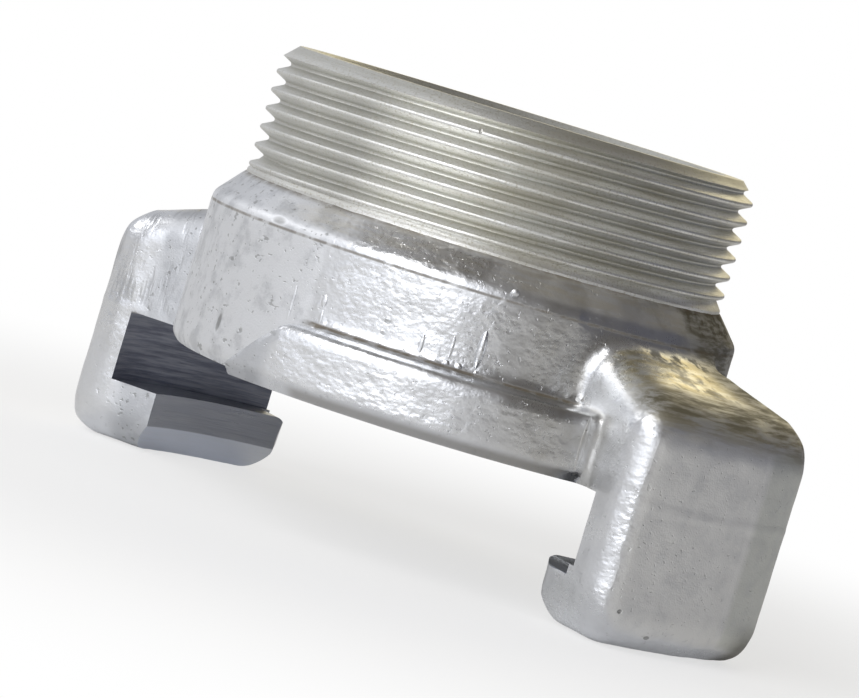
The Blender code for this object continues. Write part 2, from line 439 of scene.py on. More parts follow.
class Wave:
    """A shader socket that adds its own Math nodes when it is used in an expression."""

    def __init__(self, nodes: NodeMaker, socket: bpy.types.NodeSocket) -> None:
        """Wrap an output socket of a material's nodes."""
        self.nodes = nodes
        self.socket = socket

    def _math(self, operation: str, *values: Wave | float) -> Wave:
        """Add a Math node of the operation on the values."""
        return self.nodes.add("ShaderNodeMath", {"operation": operation}, dict(enumerate(values)))

    def __add__(self, other: Wave | float) -> Wave:
        """Add."""
        return self._math("ADD", self, other)

    __radd__ = __add__

    def __mul__(self, other: Wave | float) -> Wave:
        """Multiply."""
        return self._math("MULTIPLY", self, other)

    __rmul__ = __mul__

    def __sub__(self, other: Wave | float) -> Wave:
        """Subtract."""
        return self._math("SUBTRACT", self, other)

    def __rsub__(self, other: float) -> Wave:
        """Subtract this from a number."""
        return self._math("SUBTRACT", other, self)

    def __truediv__(self, other: Wave | float) -> Wave:
        """Divide."""
        return self._math("DIVIDE", self, other)

    def __pow__(self, other: float) -> Wave:
        """Raise to a power."""
        return self._math("POWER", self, other)

    def ramp(self, low: float, high: float, bottom: float = 0.0, top: float = 1.0) -> Wave:
        """Give the bottom value up to low and the top value from high on, with a soft step between.

        Args:
            low: Where the step starts.
            high: Where it ends.
            bottom: The output up to low.
            top: The output from high on.

        Returns:
            The mapped value.
        """
        return self.nodes.add(
            "ShaderNodeMapRange", {"interpolation_type": "SMOOTHSTEP"},
            {"Value": self, "From Min": low, "From Max": high, "To Min": bottom, "To Max": top})


class NodeMaker:
    """Makes the nodes of one material."""

    def __init__(self, name: str) -> None:
        """Start a material with a Principled shader.

        Args:
            name: The material's name.
        """
        self.material = bpy.data.materials.new(name)
        self.material.use_nodes = True
        self.tree = self.material.node_tree
        self.shader = self.tree.nodes["Principled BSDF"]

    @classmethod
    def of_tree(cls, tree: bpy.types.NodeTree) -> NodeMaker:
        """Make a maker for a tree that has no Principled shader, such as the world's.

        Args:
            tree: The tree.

        Returns:
            The maker.
        """
        made = cls.__new__(cls)
        made.material = made.shader = None
        made.tree = tree
        return made

    def add(self, kind: str, settings: dict | None = None, inputs: dict | None = None,
            output: str | int = 0) -> Wave:
        """Make a node.

        Args:
            kind: The node's type.
            settings: Its properties, which are set before its sockets.
            inputs: Values or sockets for its inputs, by name or number.
            output: The output to return.

        Returns:
            That output.
        """
        node = self.tree.nodes.new(kind)
        for name, value in (settings or {}).items():
            setattr(node, name, value)
        for name, value in (inputs or {}).items():
            self.feed(node.inputs[name], value)
        return Wave(self, node.outputs[output])

    def feed(self, socket: bpy.types.NodeSocket, value: Wave | float | Sequence[float]) -> None:
        """Link a socket to another one, or set its value.

        Args:
            socket: The input socket.
            value: What it gets.
        """
        if isinstance(value, Wave):
            self.tree.links.new(value.socket, socket)
        else:
            socket.default_value = value

    def place(self) -> Wave:
        """Give the position on the object, in metres."""
        return self.add("ShaderNodeTexCoord", output="Object")

    def parts(self, vector: Wave) -> tuple[Wave, Wave, Wave]:
        """Split a vector into its three numbers.

        Args:
            vector: The vector.

        Returns:
            Its x, y and z.
        """
        first = self.add("ShaderNodeSeparateXYZ", inputs={"Vector": vector})
        node = first.socket.node
        return first, Wave(self, node.outputs[1]), Wave(self, node.outputs[2])

    def join(self, x: Wave | float, y: Wave | float, z: Wave | float) -> Wave:
        """Make a vector of three numbers."""
        return self.add("ShaderNodeCombineXYZ", inputs={"X": x, "Y": y, "Z": z})

    def most(self, first: Wave, *others: Wave) -> Wave:
        """Give the largest of some values.

        Args:
            first: One value.
            others: The rest.

        Returns:
            The largest at each point.
        """
        for other in others:
            first = self.add("ShaderNodeMath", {"operation": "MAXIMUM"}, {0: first, 1: other})
        return first

    def radius(self, x: Wave, y: Wave) -> Wave:
        """Work out the distance from the axis."""
        return (x * x + y * y) ** 0.5

    def turns(self, x: Wave, y: Wave) -> Wave:
        """Work out the angle round the axis in radians."""
        return self.add("ShaderNodeMath", {"operation": "ARCTAN2"}, {0: y, 1: x})

    def grain(self, vector: Wave, size: float, detail: float = 2.0, rough: float = 0.5,
              fourth: Wave | None = None) -> Wave:
        """Make noise.

        Args:
            vector: Where to read it.
            size: Size of its lumps.
            detail: Number of finer layers.
            rough: Strength of the finer layers.
            fourth: A fourth coordinate, for noise that is wrapped round an axis.

        Returns:
            A value of about 0.5.
        """
        inputs = {"Vector": vector, "Scale": 1 / size, "Detail": detail, "Roughness": rough}
        if fourth is None:
            return self.add("ShaderNodeTexNoise", {"noise_dimensions": "3D"}, inputs)
        return self.add("ShaderNodeTexNoise", {"noise_dimensions": "4D"}, inputs | {"W": fourth})

    def blend(self, amount: Wave | float, first: Wave | Colour, second: Wave | Colour) -> Wave:
        """Mix two colours."""
        return self.add("ShaderNodeMix", {"data_type": "RGBA"},
                        {MIX_FACTOR: amount, MIX_FIRST: first, MIX_SECOND: second}, output=MIX_RESULT)

    def coats(self, colour: Wave | Colour, *layers: tuple[Wave | float, Wave | Colour]) -> Wave:
        """Lay coats over a first colour, each as thickly as its amount says.

        Args:
            colour: The first colour.
            layers: Amount and colour of each coat.

        Returns:
            The colour with all its coats.
        """
        for amount, coat in layers:
            colour = self.blend(amount, colour, coat)
        return colour

    def bump(self, height: Wave) -> Wave:
        """Turn a height in millimetres into a normal."""
        return self.add("ShaderNodeBump", inputs={"Height": height, "Strength": 1.0, "Distance": MM})

    def set(self, **sockets: Wave | float | Colour) -> bpy.types.Material:
        """Feed the shader's sockets, named with underscores for spaces.

        Args:
            sockets: What each socket gets.

        Returns:
            The material.
        """
        for name, value in sockets.items():
            self.feed(self.shader.inputs[name.replace("_", " ").title()], value)
        return self.material


class HeadPlace:
    """Where a shaded point lies on the head, as radius, angle round the axis and height."""

    def __init__(self, nodes: NodeMaker) -> None:
        """Work the three out from the object's coordinates.

        Args:
            nodes: The maker of the material's nodes.
        """
        self.nodes = nodes
        self.point = nodes.place()
        x, y, self.height = nodes.parts(self.point)
        self.radius = nodes.radius(x, y)
        self.angle = nodes.turns(x, y)
        self.forward = x / self.radius
        self.sideways = y / self.radius

    def grain(self, size: float, detail: float = 2.0, rough: float = 0.5) -> Wave:
        """Make noise by the size of its lumps and the number and strength of its finer layers."""
        return self.nodes.grain(self.point, size, detail, rough)

    def wrapped(self, deep: float, around: float, high: float, detail: float, rough: float = 0.5) -> Wave:
        """Make seamless noise round the axis by its lumps' depth, number in a radian, and height."""
        vector = self.nodes.join(self.forward * around, self.sideways * around, self.height / high)
        return self.nodes.grain(vector, 1.0, detail, rough, fourth=self.radius / deep)

    def beyond(self, radius: float, start: float, end: float) -> Wave:
        """Step from 0 to 1 between two offsets in millimetres outwards from a radius."""
        return self.radius.ramp(radius + start * MM, radius + end * MM)

    def above(self, height: float, start: float, end: float) -> Wave:
        """Step from 0 to 1 between two offsets in millimetres upwards from a height."""
        return self.height.ramp(height + start * MM, height + end * MM)

    def near(self, value: Wave, middle: float, half: float, edge: float) -> Wave:
        """Give 1 within a band of a value and 0 outside it, with soft edges."""
        offset = value - middle
        return ((offset * offset) ** 0.5).ramp(half, half + edge, 1.0, 0.0)

    def between(self, sector: Sector, edge: float = 3.0) -> Wave:
        """Give 1 between two angles in degrees and 0 beyond them, softened over a few degrees.

        Args:
            sector: The two angles.
            edge: Width of the soft edge.

        Returns:
            The mask.
        """
        first, last = sector
        middle, half = math.radians((first + last) / 2), math.radians(last - first) / 2
        return self.near(self.angle, middle, half, math.radians(edge))

    def on_both_sides(self, sector: Sector) -> Wave:
        """Give 1 between two angles in degrees and between the opposite ones."""
        first, last = sector
        return self.nodes.most(self.between(sector), self.between((first + 180, last + 180)))


@dataclass(frozen=True)
class Mark:
    """A run, a drop, a pit or a nick on a round surface: its angle in degrees, the rest in millimetres."""

    degrees: float
    height: float
    width: float
    length: float
    depth: float

    def spot(self, place: HeadPlace, radius: float) -> Wave:
        """Show it in a material.

        Args:
            place: The shaded point.
            radius: Radius of the surface that it is on.

        Returns:
            Its depth in millimetres at its middle, falling to nothing at its edge.
        """
        across = (place.angle - math.radians(self.degrees)) * (2 * radius / (self.width * MM))
        along = (place.height - self.height * MM) * (2 / (self.length * MM))
        return (across * across + along * along).ramp(0.0, 1.0, self.depth, 0.0)

    def lump(self, radius: float, name: str, look: bpy.types.Material) -> bpy.types.Object:
        """Build it as an egg that is half sunk in a round surface.

        Args:
            radius: Radius of the surface.
            name: The object's name.
            look: Its material.

        Returns:
            The egg.
        """
        egg = Solid()
        size = Matrix.Diagonal((self.depth * MM, self.width * MM / 2, self.length * MM / 2, 1.0))
        turn = Matrix.Rotation(math.radians(self.degrees), 4, "Z")
        place = turn @ Matrix.Translation((radius, 0.0, self.height * MM))
        bmesh.ops.create_uvsphere(egg.shape, u_segments=16, v_segments=10, radius=1.0, matrix=place @ size)
        return egg.finish(name, look)


@dataclass(frozen=True)
class CastSkin:
    """Skin of the casting: bright orange peel, matt stretches and small marks, with painted shade, dark
    reflection and warm highlight on parts of it, brown painted shade in the corners among them.
    """

    sizes: HeadSizes
    name: str = "cast_skin"
    bright: Colour = (0.74, 0.75, 0.77, 1.0)
    grey: Colour = (0.76, 0.77, 0.79, 1.0)
    blotch: Colour = (0.50, 0.51, 0.53, 1.0)
    # Claws' outer faces: the first tone is lighter and stands in for light on them; the second is darker,
    # painted shade on the facet beyond the die line
    face: Colour = (0.80, 0.80, 0.79, 1.0)
    shaded_face: Colour = (0.66, 0.67, 0.64, 1.0)
    # Greyish brown painted shade on one side of the collar and ledges
    side_shade: Colour = (0.46, 0.45, 0.42, 1.0)
    speck: Colour = (0.16, 0.16, 0.15, 1.0)
    # Yellow-brown: partly tarnish, partly a painted warm highlight on a claw's top and the shoulder
    tarnish_and_warm_sheen: Colour = (0.50, 0.42, 0.22, 1.0)
    # Nearly black: painted shade and dark reflection on a claw's top and edge, on the shoulder and at a
    # claw's foot
    dark_shade_colour: Colour = (0.085, 0.075, 0.045, 1.0)
    # Brown painted shade in the corners and under the ledge
    corner_shade: Colour = (0.10, 0.075, 0.04, 1.0)
    matt_side: Sector = (-172.0, -80.5)
    shaded_collar_side: Sector = (-27.0, 70.0)
    hammered_side: Sector = (-76.0, -44.0)
    shaded_facet_claws: Sector = (-30.0, 60.0)
    rough_shoulder: Sector = (-25.0, 90.0)
    warm_shoulder: Sector = (-75.0, 80.0)
    warm_top: Sector = (-16.0, 40.0)
    dark_top: Sector = (-17.0, 75.0)
    dark_root: Sector = (-14.0, 30.0)
    dark_edge: Sector = (-25.0, 30.0)
    dark_foot: Sector = (12.0, 30.0)
    dark_shoulder: Sector = (0.0, 75.0)
    ledge_corner: Sector = (-78.0, -19.0)
    ledge_underside: Sector = (-72.0, -26.0)
    die_line: float = math.radians(4.5)
    die_line_drift: float = -0.165  # radians for each metre of height
    wedge_slope: float = 7.0 * MM
    dull_size: float = 11.0 * MM
    swell_size: float = 4.5 * MM
    blotch_size: float = 3.2 * MM
    patch_size: float = 2.4 * MM
    corner_shade_break: float = 1.6 * MM
    speck_size: float = 0.6 * MM
    fine_size: float = 0.22 * MM
    least_rough: float = 0.25
    pits: tuple[Mark, ...] = (
        Mark(-94.1, 34.6, 3.2, 1.3, 0.05),
        Mark(-103.5, 20.9, 1.1, 3.0, 0.07),
        Mark(-95.5, 21.0, 0.9, 1.0, 0.05),
        Mark(-62.5, 27.6, 1.2, 0.9, 0.06),
        Mark(-62.8, 26.2, 1.0, 0.8, 0.05),
        Mark(-19.8, 1.9, 1.0, 1.5, 0.08),
        Mark(-15.5, 4.6, 0.5, 0.6, 0.10),
        Mark(-9.4, 2.2, 0.8, 0.6, 0.10),
    )

    def build(self) -> bpy.types.Material:
        """Make the material.

        Returns:
            The material.
        """
        nodes = NodeMaker(self.name)
        place = HeadPlace(nodes)
        s = self.sizes
        off_claw = place.radius.ramp(s.ledge_radius, s.slot_radius, 1.0, 0.0)
        matt = place.between(self.matt_side) * off_claw
        outer = place.beyond(s.claw_radius, -1.0, -0.45)
        dull = nodes.most(matt, outer, place.grain(self.dull_size, 3.0).ramp(0.50, 0.62) * 0.5)
        blotches = place.grain(self.blotch_size, 5.0, 0.62).ramp(0.46, 0.66)
        specks = place.grain(self.speck_size).ramp(0.66, 0.72)
        pores = place.wrapped(0.9 * MM, s.collar_radius / (1.5 * MM), 0.8 * MM, 2.0).ramp(0.64, 0.70) * matt
        # Beyond the die line the claws' outer faces take a painted shade tone, as a second facet in shade
        beside_line = place.angle - (place.height * self.die_line_drift + self.die_line)
        shaded_facet = beside_line.ramp(0.0, 0.03) * place.between(self.shaded_facet_claws)
        runs = place.wrapped(1.0 * MM, 9.0, 6.0 * MM, 3.0).ramp(0.48, 0.68) * self.flank(place, outer)
        first, *others = (pit.spot(place, s.collar_radius) for pit in self.pits)
        pitted = sum(others, first)
        streaks = place.wrapped(1.1 * MM, 9.0, 0.6 * MM, 4.0, 0.6).ramp(0.38, 0.62)
        # Painted shade and dark reflections; where they lie the skin is also rougher and less metallic
        dark_shade, shaded_corners = self.dark_shade(place, streaks), self.shaded_corners(place)
        painted_dark = nodes.most(dark_shade, shaded_corners)
        colour = nodes.coats(
            self.bright,
            (matt, self.grey),
            (blotches * (matt * 0.45 + 0.12) + self.darker_ledge_and_shoulder(place, matt), self.blotch),
            # Painted shade on one side of the collar and ledges
            (self.shaded_collar(place, off_claw) * (0.55 + blotches * 0.25), self.side_shade),
            # Claws' outer faces: lighter tone standing in for light, and painted shade beyond the die line
            (outer, nodes.blend(shaded_facet, self.face, self.shaded_face)),
            (outer * blotches * 0.22, self.blotch),
            (runs * 0.85, self.blotch),
            (nodes.most(specks * (matt * 0.35 + 0.12), pores * 0.45), self.speck),
            (pitted.ramp(0.005, 0.07, 0.0, 0.6), self.speck),
            # Partly tarnish, partly painted warm highlight
            (self.tarnished_and_warm_sheen(place, streaks), self.tarnish_and_warm_sheen),
            # Painted shade and dark reflection
            (dark_shade, self.dark_shade_colour),
            # Painted shade in the corners and under the ledge
            (shaded_corners, self.corner_shade))
        fine = place.grain(self.fine_size)
        hammered = place.radius.ramp(s.slot_radius, s.claw_radius - 2.5 * MM)
        relief = self.peel(place) * (1.0 - dull * 0.8) * (1.0 + hammered)
        relief = relief + fine * (0.012 + dull * 0.012)
        relief = relief - (specks + pores) * 0.03 - pitted - runs * 0.06
        relief = relief + outer * place.near(beside_line, 0.0, 0.002, 0.014) * 0.03
        shoulder = place.above(s.collar_top, -0.5, 0.3) * place.between(self.rough_shoulder, 20.0)
        # The painted dark areas are also rougher and less metallic
        rough = self.least_rough + dull * 0.20 + fine * 0.06 + shoulder * 0.25 + painted_dark * 0.30
        return nodes.set(base_color=colour, roughness=rough, metallic=1.0 - painted_dark * 0.85,
                         normal=nodes.bump(relief))

    def darker_ledge_and_shoulder(self, place: HeadPlace, matt: Wave) -> Wave:
        """Give where the matt side is darker: on its ledge and on its shoulder.

        Args:
            place: The shaded point.
            matt: Where the skin is matt.

        Returns:
            0 where it isn't and 1 where it is thickest.
        """
        s = self.sizes
        on_ledge, on_shoulder = place.beyond(s.collar_radius, 1.0, 2.0), place.above(s.collar_top, -1.0, 0.5)
        return matt * (on_ledge * 0.8 + on_shoulder * 0.5)

    def shaded_collar(self, place: HeadPlace, off_claw: Wave) -> Wave:
        """Give where the collar and ledges are painted greyish brown as shade: on one side, apart from the
        claw.

        Args:
            place: The shaded point.
            off_claw: Where the surface is no claw's.

        Returns:
            0 where it isn't and 1 where it is thickest.
        """
        s = self.sizes
        on_claw = place.beyond(s.collar_radius, 0.2, 0.8) * place.above(s.face + s.ledge_height, 0.2, 0.8)
        side = place.between(self.shaded_collar_side, 20.0) * place.above(s.face, -1.0, 0.0)
        return side * off_claw * (1.0 - on_claw)

    def flank(self, place: HeadPlace, outer: Wave) -> Wave:
        """Give where the flank of the far claw is, above the coupling face.

        Args:
            place: The shaded point.
            outer: Where the claws' outer faces are.

        Returns:
            0 where it isn't and 1 where it is thickest.
        """
        s = self.sizes
        flank = place.beyond(s.collar_radius, 2.0, 4.0) * (1.0 - outer) * place.above(s.face, 0.0, 2.0)
        return flank * place.forward.ramp(-0.6, -0.3, 1.0, 0.0)

    def peel(self, place: HeadPlace) -> Wave:
        """Give the height of the orange peel in millimetres: waves lying along the mould.

        Args:
            place: The shaded point.

        Returns:
            The height.
        """
        waves = place.wrapped(0.8 * MM, self.sizes.collar_radius / (0.9 * MM), 0.7 * MM, 1.2)
        waves = waves * (0.050 + place.between(self.hammered_side, 8.0) * 0.045)
        return waves + place.grain(self.swell_size, 1.0) * 0.09

    def tarnished_and_warm_sheen(self, place: HeadPlace, streaks: Wave) -> Wave:
        """Give where the skin is tinted yellow-brown, partly as tarnish and partly as a painted warm
        highlight: in streaks on one claw's top and round the shoulder.

        Args:
            place: The shaded point.
            streaks: Noise in streaks along the mould.

        Returns:
            0 where it isn't and 1 where it is thickest.
        """
        s = self.sizes
        tops = place.beyond(s.collar_radius, 0.6, 2.0) * place.between(self.warm_top, 4.0)
        tops = tops * place.height.ramp(s.face + s.ledge_height, s.face + s.claw_rise)
        shoulder = place.above(s.collar_top, -0.4, 0.5) * place.between(self.warm_shoulder, 30.0)
        return (tops * 0.80 + shoulder * 0.28) * (streaks * 0.7 + 0.3)

    def dark_shade(self, place: HeadPlace, streaks: Wave) -> Wave:
        """Give where the skin is painted nearly black as shade and dark reflection: at that claw top's outer
        corner, in patches at its root, along its top edge and on the shoulder, and darker towards the bottom
        of one side of the claw's foot.

        Args:
            place: The shaded point.
            streaks: Noise in streaks along the mould.

        Returns:
            0 where it isn't and 1 where it is thickest.
        """
        s = self.sizes
        nodes = place.nodes
        claw_top = s.face + s.claw_rise
        high = place.above(claw_top, -3.5, 0.5) * place.between(self.dark_top, 5.0)
        patches = place.grain(self.patch_size, 4.0, 0.6).ramp(0.46, 0.60)
        corner = place.radius.ramp(s.ledge_radius + 0.8 * MM, s.claw_radius - 4.5 * MM)
        beside = place.angle.ramp(0.0, 0.20) * (place.angle - patches * 0.25).ramp(0.35, 1.10, 1.0, 0.0)
        corner = nodes.most(corner, beside) * (0.55 + streaks * 0.4)
        root = place.near(place.radius, s.collar_radius + 1.5 * MM, 1.0 * MM, 1.5 * MM) * patches * 0.8
        root = nodes.most(root, patches * 0.45) * place.between(self.dark_root)
        root = root * place.beyond(s.collar_radius, 0.3, 1.0)
        shoulder = place.above(s.collar_top, 0.0, 0.8) * place.between(self.dark_shoulder, 15.0)
        foot = place.height.ramp(1.0 * MM, 6.5 * MM, 0.75, 0.0) * place.between(self.dark_foot, 6.0)
        edge = place.height + place.angle * self.wedge_slope - claw_top
        edge = edge.ramp(-3.0 * MM, 0.0, 0.0, 0.75)
        edge = edge * place.radius.ramp(s.slot_radius, s.claw_radius - 1.5 * MM)
        edge = edge * place.between(self.dark_edge, 5.0) * (0.5 + streaks * 0.5)
        return nodes.most(high * nodes.most(corner, root), edge) + shoulder * patches * 0.30 + foot

    def shaded_corners(self, place: HeadPlace) -> Wave:
        """Give where brown painted shade sits: in the corner on the ledge, in the one below the thread, in a
        line round the collar and under the ledge.

        Args:
            place: The shaded point.

        Returns:
            0 where it isn't and 1 where it is thickest.
        """
        s = self.sizes
        broken = place.grain(self.corner_shade_break, 3.0).ramp(0.30, 0.55)
        on_ledge = place.near(place.height, s.face + s.ledge_height + 0.1 * MM, 0.14 * MM, 0.28 * MM)
        on_ledge = on_ledge * place.near(place.radius, s.collar_radius + 0.1 * MM, 0.35 * MM, 0.45 * MM)
        on_ledge = on_ledge * place.on_both_sides(self.ledge_corner)
        below_thread = place.above(s.spigot_foot, -0.7, 0.0)
        groove = place.near(place.height, s.collar_top - 1.5 * MM, 0.05 * MM, 0.22 * MM) * 0.7
        under = place.near(place.height, s.face + 0.4 * MM, 0.3 * MM, 0.9 * MM)
        under = under * place.beyond(s.ledge_radius, -2.0, -1.0) * place.on_both_sides(self.ledge_underside)
        lines = place.nodes.most(on_ledge * 0.9, groove, below_thread * 0.7)
        return place.nodes.most(lines * (broken * 0.6 + 0.4), under * 0.48)


@dataclass(frozen=True)
class TurnedMetal:
    """Aluminium off the lathe: fine tool marks round the axis, bright crests, roots darkened as painted
    shade, painted reflections on the hooks and painted shade in the slots.
    """

    sizes: HeadSizes
    name: str = "turned_metal"
    crest: Colour = (0.86, 0.86, 0.84, 1.0)
    # Root tone: painted shade in the thread's grooves, and also the colour of random streaks
    root: Colour = (0.62, 0.62, 0.58, 1.0)
    # Dark bluish: painted dark reflection on the turned faces in the claws
    dark_hook_reflection: Colour = (0.37, 0.39, 0.45, 1.0)
    # Light bluish: painted reflection of the floor on the hooks' lead-in cones
    lead: Colour = (0.76, 0.80, 0.90, 1.0)
    # Navy: painted shade on the slot walls
    slot_shade: Colour = (0.13, 0.14, 0.19, 1.0)
    dull: Colour = (0.50, 0.50, 0.48, 1.0)
    stain: Colour = (0.40, 0.37, 0.27, 1.0)
    warm_side: Sector = (-45.0, 60.0)
    dull_side: Sector = (-178.0, -88.0)
    mark_pitch: float = 0.16 * MM
    mark_depth: float = 0.022
    grit_size: float = 0.30 * MM
    least_rough: float = 0.22

    def build(self) -> bpy.types.Material:
        """Make the material.

        Returns:
            The material.
        """
        nodes = NodeMaker(self.name)
        place = HeadPlace(nodes)
        s = self.sizes
        marks = place.wrapped(self.mark_pitch, 1.5, self.mark_pitch, 3.0, 0.6)
        streaks = place.wrapped(0.5 * MM, 5.0, 0.45 * MM, 4.0, 0.65).ramp(0.36, 0.66)
        stained = place.wrapped(1.5 * MM, 3.0, 1.8 * MM, 3.0).ramp(0.40, 0.66)
        grit = place.grain(self.grit_size, 3.0, 0.65)
        # Colour goes from the root tone to the crest tone outwards: painted shade in the thread's grooves
        crest = place.radius.ramp(s.thread_radius - s.thread_depth, s.thread_radius - 0.35 * s.thread_depth)
        on_thread = place.height.ramp(s.collar_top, s.spigot_foot)
        warm_side = place.between(self.warm_side, 25.0) * on_thread
        in_claw = 1.0 - place.above(s.face, -0.3, -0.1)
        on_lead = 1.0 - place.above(s.hook_lead_height, -0.1, 0.1)
        in_slot = place.beyond(s.slot_radius, -0.5, -0.2) * (1.0 - on_lead)
        colour = nodes.coats(
            # Root tone as painted shade in the grooves, crest tone outside them
            self.root,
            (crest, self.crest),
            # Painted dark reflection on the turned faces in the claws
            (in_claw, self.dark_hook_reflection),
            # Painted reflection of the floor on the lead-in cones
            (on_lead * 0.8, self.lead),
            # Painted shade on the slot walls, broken by streaks
            (in_slot * (0.35 + streaks * 0.6), self.slot_shade),
            (streaks * (on_thread * 0.25 + 0.10) * (1.0 - in_slot), self.root),
            ((warm_side * 0.30 + on_thread * 0.06) * stained, self.stain),
            (place.between(self.dull_side, 14.0) * on_thread * 0.45, self.dull),
            (grit.ramp(0.50, 0.72, 0.0, 0.55) * on_thread, self.stain))
        rough = self.least_rough + marks * 0.16 + stained * 0.06 + on_thread * 0.14
        relief = marks * self.mark_depth + streaks * 0.012 + grit * on_thread * 0.03
        return nodes.set(base_color=colour, roughness=rough, metallic=1.0, normal=nodes.bump(relief))


@dataclass(frozen=True)
class SealRubber:
    """Black moulded rubber."""

    name: str = "seal_rubber"
    black: Colour = (0.020, 0.020, 0.021, 1.0)
    dusty: Colour = (0.060, 0.058, 0.055, 1.0)
    dust_size: float = 5.0 * MM
    fine_size: float = 0.3 * MM

    def build(self) -> bpy.types.Material:
        """Make the material.

        Returns:
            The material.
        """
        nodes = NodeMaker(self.name)
        place = nodes.place()
        dust = nodes.grain(place, self.dust_size, detail=4.0).ramp(0.45, 0.75)
        fine = nodes.grain(place, self.fine_size)
        return nodes.set(base_color=nodes.blend(dust, self.black, self.dusty),
                         roughness=0.55 + fine * 0.2, metallic=0.0, normal=nodes.bump(fine * 0.02))


@dataclass
class Casting:
    """The raw casting: collar, ledges and claws run together, with the soft edges of its mould."""

    sizes: HeadSizes
    skin: bpy.types.Material
    shoulder_bend: float = 50.0
    ledge_steps: int = 48
    claw_steps: int = 4
    grain: float = 0.45 * MM
    softening: int = 3
    root_softening: int = 50
    root_reach: float = 3.0 * MM
    root_foot: float = 0.8 * MM
    ripple_size: float = 3.2 * MM
    ripple_depth: float = 0.05 * MM
    ripple_layers: tuple[float, float, int] = (1.0, 2.0, 2)  # fall-off, step in size and number
    flattest_corner: float = math.radians(32.0)
    parting_height: float = 16.8 * MM
    parting_ridge: float = 0.05 * MM
    shrinkage: float = 0.09 * MM
    drops: tuple[Mark, ...] = (
        Mark(-84.2, 26.2, 0.5, 4.2, 0.09),
        Mark(-76.8, 27.6, 0.8, 1.5, 0.15),
        Mark(-76.5, 25.6, 0.4, 2.0, 0.08),
        Mark(-54.7, 26.2, 0.6, 2.8, 0.10),
        Mark(-48.7, 27.1, 0.5, 2.6, 0.10),
        Mark(-48.9, 25.0, 1.0, 1.0, 0.20),
        Mark(-46.4, 25.0, 1.1, 1.1, 0.22),
        Mark(-43.0, 27.7, 1.0, 4.6, 0.42),
        Mark(-42.7, 24.7, 0.8, 1.2, 0.20),
        Mark(-39.8, 35.0, 1.0, 1.0, 0.25),
    )
    bead: Mark = Mark(-22.6, 21.0, 0.8, 6.6, 0.12)

    def collar(self) -> bpy.types.Object:
        """Build the collar with its shoulder.

        Returns:
            Its blank.
        """
        s = self.sizes
        foot = (s.collar_radius - s.collar_foot_fillet, s.face + s.collar_foot_fillet)
        shoulder = (s.collar_radius - s.shoulder_rounding, s.collar_top - s.shoulder_rounding)
        return Solid().turn([
            (s.raw_bore_radius, s.face - s.allowance),
            (foot[0], s.face - s.allowance),
            *arc(foot, s.collar_foot_fillet, -90, 0),
            *arc(shoulder, s.shoulder_rounding, 0, self.shoulder_bend),
            (s.thread_radius + s.shoulder_land, s.spigot_foot),
            (s.thread_radius - s.thread_depth, s.spigot_foot + s.allowance),
            (s.raw_bore_radius, s.spigot_foot + s.allowance),
        ]).finish("collar_blank", self.skin)

    def ledges(self) -> bpy.types.Object:
        """Build both ledges, each with the ramp at its free end.

        Returns:
            Their blank.
        """
        s = self.sizes
        top = s.face + s.ledge_height
        corner = (s.ledge_radius - s.ledge_fillet, top - s.ledge_fillet)
        deep = 2 * s.allowance
        rim = Solid().sweep([
            (s.wall_radius, s.face - deep),
            (s.ledge_radius - s.ledge_chamfer - deep, s.face - deep),
            (s.ledge_radius, s.face + s.ledge_chamfer),
            *arc(corner, s.ledge_fillet, 0, 90),
            (s.wall_radius, top),
        ], -s.ledge_angle, 0.0, self.ledge_steps)
        outward = Vector((math.cos(s.ledge_angle), -math.sin(s.ledge_angle), 0.0))
        away = Vector((-math.sin(s.ledge_angle), -math.cos(s.ledge_angle), 0.0))
        tip = outward * s.ledge_radius + Vector((0.0, 0.0, s.face + s.ledge_tip_height))
        slope = away * math.sin(s.ramp_slope) + Vector((0.0, 0.0, math.cos(s.ramp_slope)))
        return rim.slice(tip, slope).repeat_half_turn().finish("ledge_blank", self.skin)

    def claw_fillet(self, edge: bmesh.types.BMEdge) -> float:
        """Give the fillet of an edge of the claw at +X, whose own ledge is on its -Y side.

        Args:
            edge: The edge.

        Returns:
            The fillet's width, which is 0 for an edge that stays sharp.
        """
        s = self.sizes
        low, high = sorted((vert.co for vert in edge.verts), key=lambda end: end.z)
        reach = math.hypot(low.x, low.y), math.hypot(high.x, high.y)
        upright = high.z - low.z > s.allowance and abs(reach[1] - reach[0]) < CLOSE
        radial = abs(reach[1] - reach[0]) > s.allowance
        towards_ledge = low.y < 0
        if edge.calc_face_angle(0.0) < self.flattest_corner or max(reach) < s.raw_hook_radius - CLOSE:
            return 0.0
        if max(reach) < s.slot_radius:
            return s.hook_tip_fillet if upright and towards_ledge else 0.0
        if upright and not towards_ledge:
            return s.trailing_fillet
        at_foot = radial and towards_ledge and high.z < s.allowance
        return s.leading_foot_fillet if at_foot else s.claw_fillet

    def claws(self) -> bpy.types.Object:
        """Build both claws as rounded blocks that take root in the collar, with a hook below.

        Returns:
            Their blank.
        """
        s = self.sizes
        outer_top = s.face + s.claw_rise
        inner_top = outer_top + (s.claw_radius - s.wall_radius) * math.tan(s.claw_slope)
        under = s.face - 3 * s.allowance
        block = Solid().sweep([
            (s.wall_radius, under),
            (s.raw_hook_radius, under),
            (s.raw_hook_radius, 0.0),
            (s.claw_radius, 0.0),
            (s.claw_radius, outer_top),
            (s.wall_radius, inner_top),
        ], -s.claw_half_angle, s.claw_half_angle, self.claw_steps)
        widest = block.weigh(self.claw_fillet)
        blank = block.repeat_half_turn().finish("claw_blank", self.skin)
        fillet(blank, widest)
        return blank

